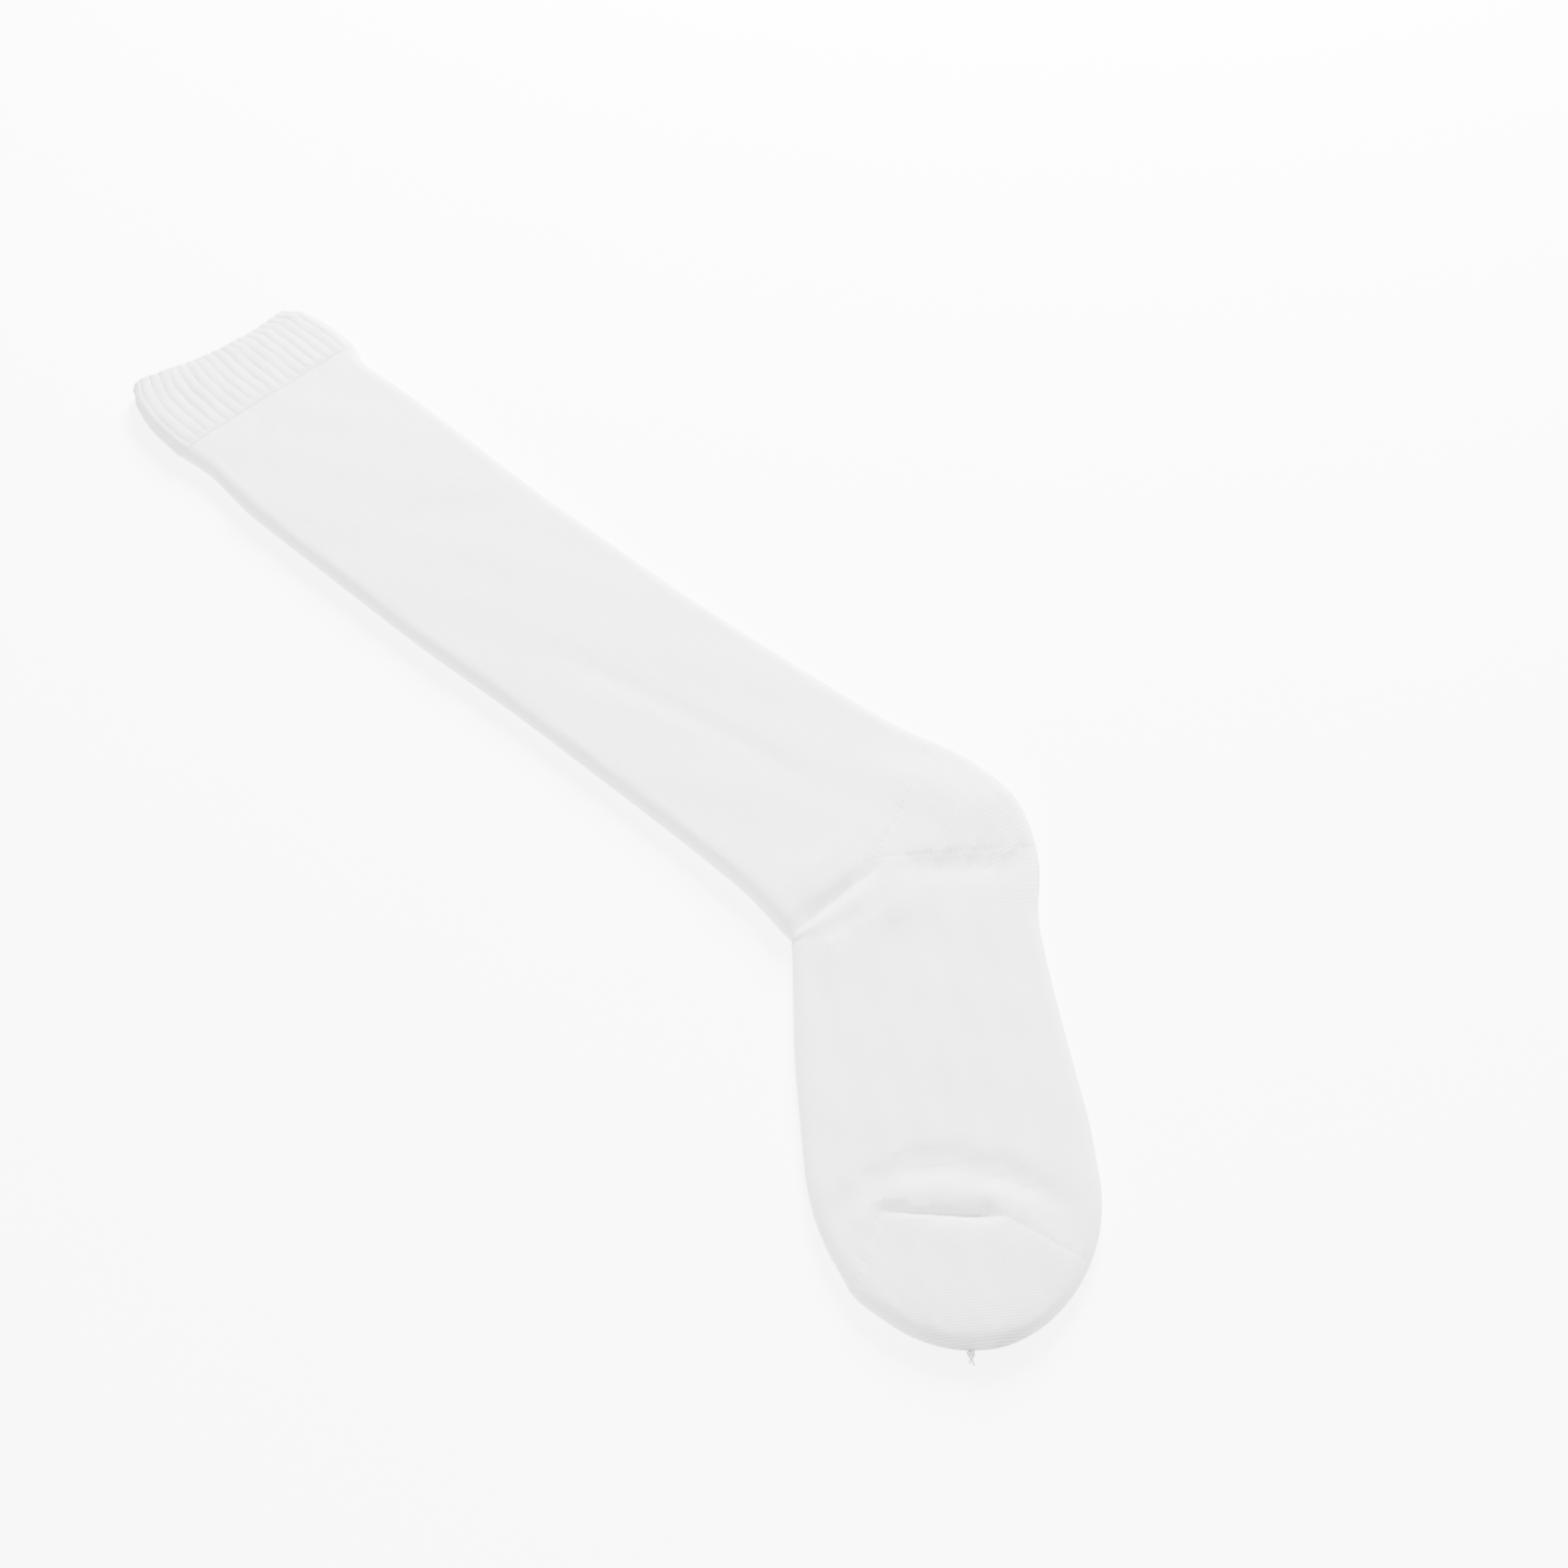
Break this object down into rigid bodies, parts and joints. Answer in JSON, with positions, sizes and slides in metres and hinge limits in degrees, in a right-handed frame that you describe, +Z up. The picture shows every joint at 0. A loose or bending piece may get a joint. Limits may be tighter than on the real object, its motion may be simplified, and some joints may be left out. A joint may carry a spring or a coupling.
{
  "type": "knee-length fencing sock",
  "caption": "Knee-length knitted sock lying flat and empty on its side, with ribbed cuff, turned heel and seamed toe.",
  "frame": {"origin": "under the middle of the sock's box, on the surface that it lies on", "axes": "+Y along the leg towards the cuff, +X towards the heel side, +Z up from the surface"},
  "size_m": [0.1942, 0.5798, 0.0123],
  "materials": {
    "ribbed_knit": "elastic cotton rib knit, matt",
    "plain_knit": "plain cotton jersey knit, matt",
    "heel_knit": "turned heel in plain cotton knit, matt",
    "toe_knit": "toe pocket in plain cotton knit, matt",
    "seam_thread": "linking thread, matt",
    "yarn": "knotted yarn, matt"
  },
  "bodies": {
    "root": {"ribbed_cuff": "ribbed_knit", "leg_and_foot": "plain_knit", "heel_pocket": "heel_knit", "toe_cap": "toe_knit", "toe_seam": "seam_thread", "yarn_end": "yarn"}
  },
  "joints": []
}
